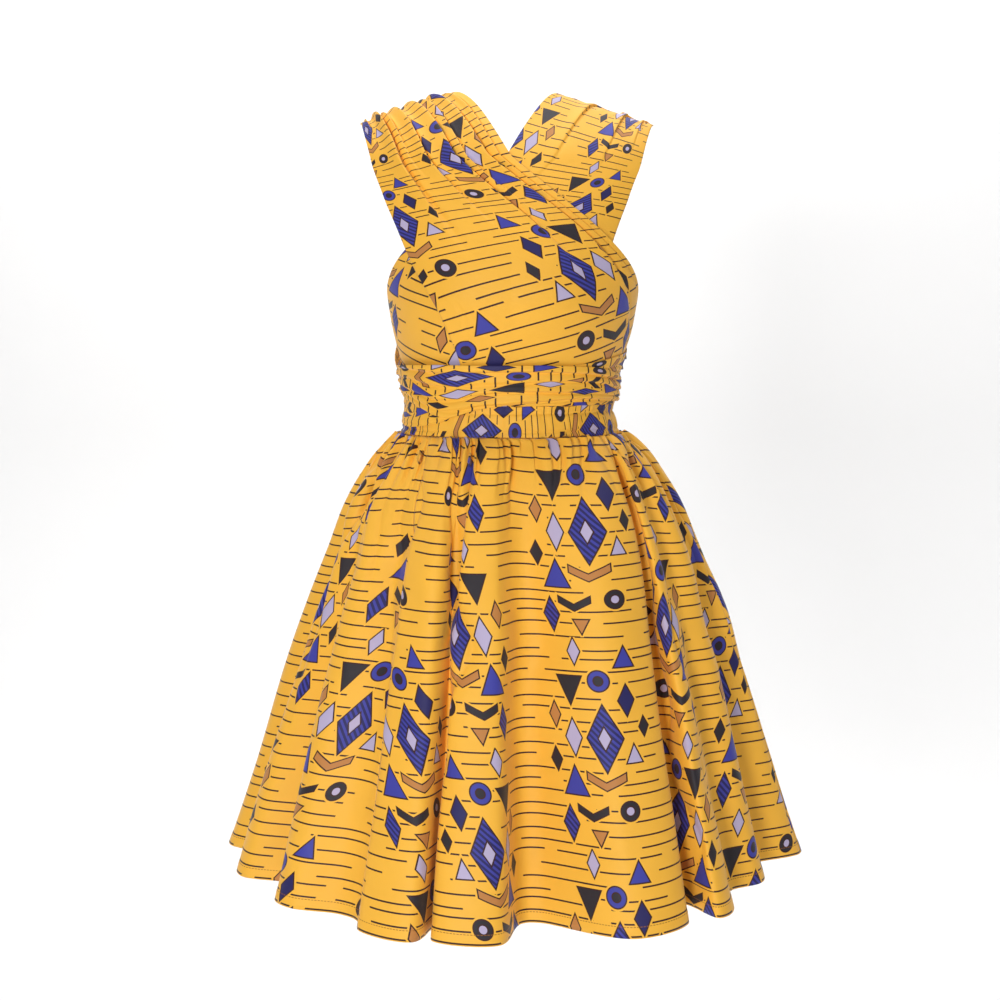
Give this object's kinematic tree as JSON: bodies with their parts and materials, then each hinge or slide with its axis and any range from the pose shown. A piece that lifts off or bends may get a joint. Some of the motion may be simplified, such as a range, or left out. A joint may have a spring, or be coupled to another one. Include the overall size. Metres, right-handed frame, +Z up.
{
  "type": "african wax print wrap dress",
  "caption": "Sleeveless wrap dress, worn shape with no wearer: pleated straps crossing over the bust and back, wound sash tied behind, shirred waistband and short gathered skirt",
  "frame": {"origin": "midway between the shoulders, on the line where the straps rest on the wearer's shoulders", "axes": "+Z up the wearer's body, the front of the dress faces -Y, +X towards the wearer's left"},
  "size_m": [0.6713, 0.5861, 0.8959],
  "materials": {
    "printed_bodice_cloth": "light plain-weave cotton with a soft sheen, yellow ground printed with dark lines and blue, lilac, tan and near-black shapes",
    "printed_waist_cloth": "the same printed cotton, cut across the print and gathered",
    "printed_skirt_cloth": "the same printed cotton, hanging in deep folds"
  },
  "bodies": {
    "root": {"front_panel_left": "printed_bodice_cloth", "front_panel_right": "printed_bodice_cloth", "back_strap_left": "printed_bodice_cloth", "back_strap_right": "printed_bodice_cloth", "waistband_front": "printed_waist_cloth", "waistband_back": "printed_waist_cloth", "sash_lower_front": "printed_waist_cloth", "sash_upper_front": "printed_waist_cloth", "sash_lower_back": "printed_waist_cloth", "sash_upper_back": "printed_waist_cloth", "tie_knot": "printed_waist_cloth", "tie_tail_right": "printed_waist_cloth", "tie_tail_left": "printed_waist_cloth", "skirt_front": "printed_skirt_cloth", "skirt_back_left": "printed_skirt_cloth", "skirt_back_right": "printed_skirt_cloth"}
  },
  "joints": []
}
